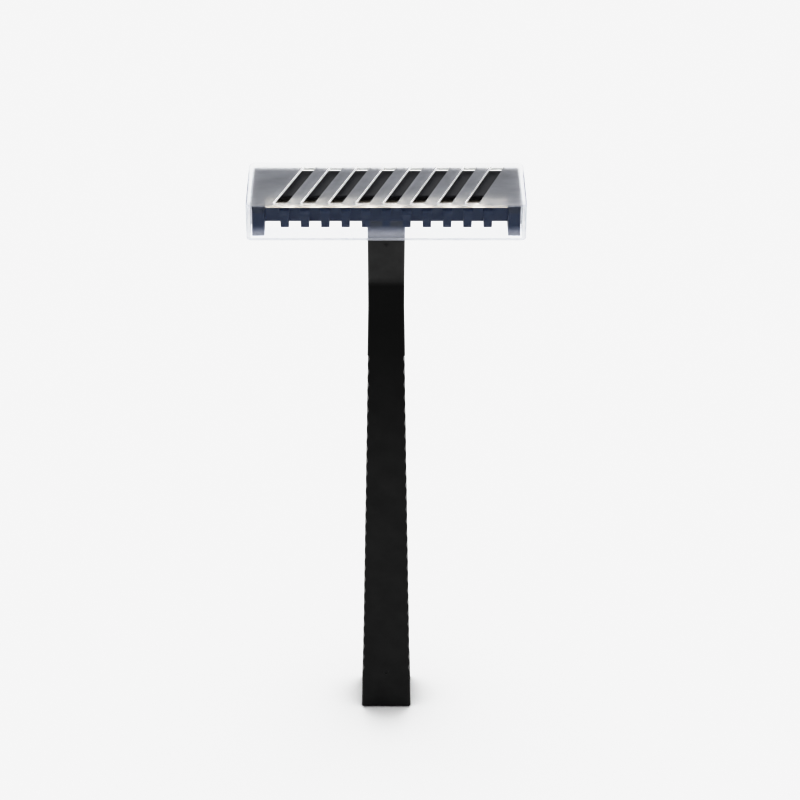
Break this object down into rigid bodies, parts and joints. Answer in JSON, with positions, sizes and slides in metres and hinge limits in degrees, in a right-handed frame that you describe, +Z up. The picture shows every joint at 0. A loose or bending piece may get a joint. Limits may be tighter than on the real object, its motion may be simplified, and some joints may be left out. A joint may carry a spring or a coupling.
{
  "type": "safety razor",
  "caption": "Single-edge T-shaped safety razor with a slim ridged handle, open-comb guard and slotted lift-off blade cover.",
  "frame": {"origin": "middle of the flat end of the handle, on which the razor stands", "axes": "+Z up along the grip, -Y towards the shaving side with the cutting edge, X along the blade"},
  "size_m": [0.0446, 0.0208, 0.1095],
  "materials": {
    "handle_plastic": "satin black",
    "head_plastic": "satin black",
    "blade_steel": "ground stainless steel",
    "cover_plastic": "frosted translucent"
  },
  "bodies": {
    "razor": {"handle": "handle_plastic", "guard_base": "head_plastic", "blade": "blade_steel", "cap": "head_plastic"},
    "cover": {"cover": "cover_plastic"}
  },
  "joints": [
    {"name": "cover_lift", "type": "slide", "parent": "razor", "child": "cover", "axis": [0, -0.342, 0.9397], "range_m": [0, 0.025]}
  ]
}
